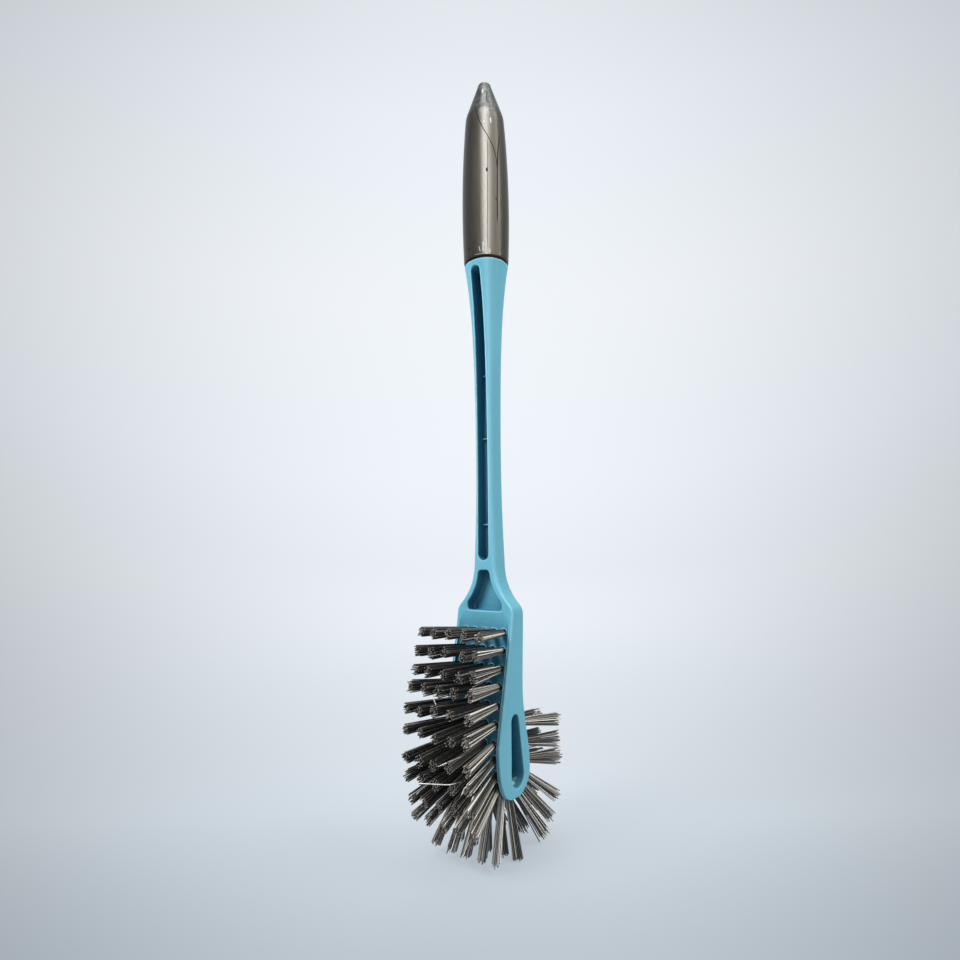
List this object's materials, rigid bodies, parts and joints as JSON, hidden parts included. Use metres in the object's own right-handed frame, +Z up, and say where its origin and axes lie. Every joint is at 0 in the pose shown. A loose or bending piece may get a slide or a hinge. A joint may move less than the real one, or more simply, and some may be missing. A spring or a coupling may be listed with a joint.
{
  "type": "toilet brush",
  "caption": "Toilet brush with a channelled stem, a sleeve grip and a narrow head whose rows of tufts wrap round its foot and up its back.",
  "frame": {"origin": "middle of the box's underside, under the lowest bristle tips, with the brush upright on them", "axes": "+Z up the stem to the grip's tip, X across the head, the longest run of tufts faces -Y"},
  "size_m": [0.039, 0.076, 0.3907],
  "materials": {
    "handle_plastic": "light teal blue moulded plastic, semi-gloss",
    "grip_plastic": "silver grey metallised plastic, semi-gloss",
    "bristles": "grey taupe filaments, slightly translucent"
  },
  "bodies": {
    "root": {"handle": "handle_plastic", "grip": "grip_plastic", "front_bristles_1": "bristles", "front_bristles_2": "bristles", "front_bristles_3": "bristles", "front_bristles_4": "bristles", "front_bristles_5": "bristles", "front_bristles_6": "bristles", "front_bristles_7": "bristles", "front_bristles_8": "bristles", "front_bristles_9": "bristles", "foot_bristles_1": "bristles", "foot_bristles_2": "bristles", "foot_bristles_3": "bristles", "back_bristles_1": "bristles", "back_bristles_2": "bristles", "back_bristles_3": "bristles", "back_bristles_4": "bristles", "back_bristles_5": "bristles", "back_bristles_6": "bristles"}
  },
  "joints": []
}
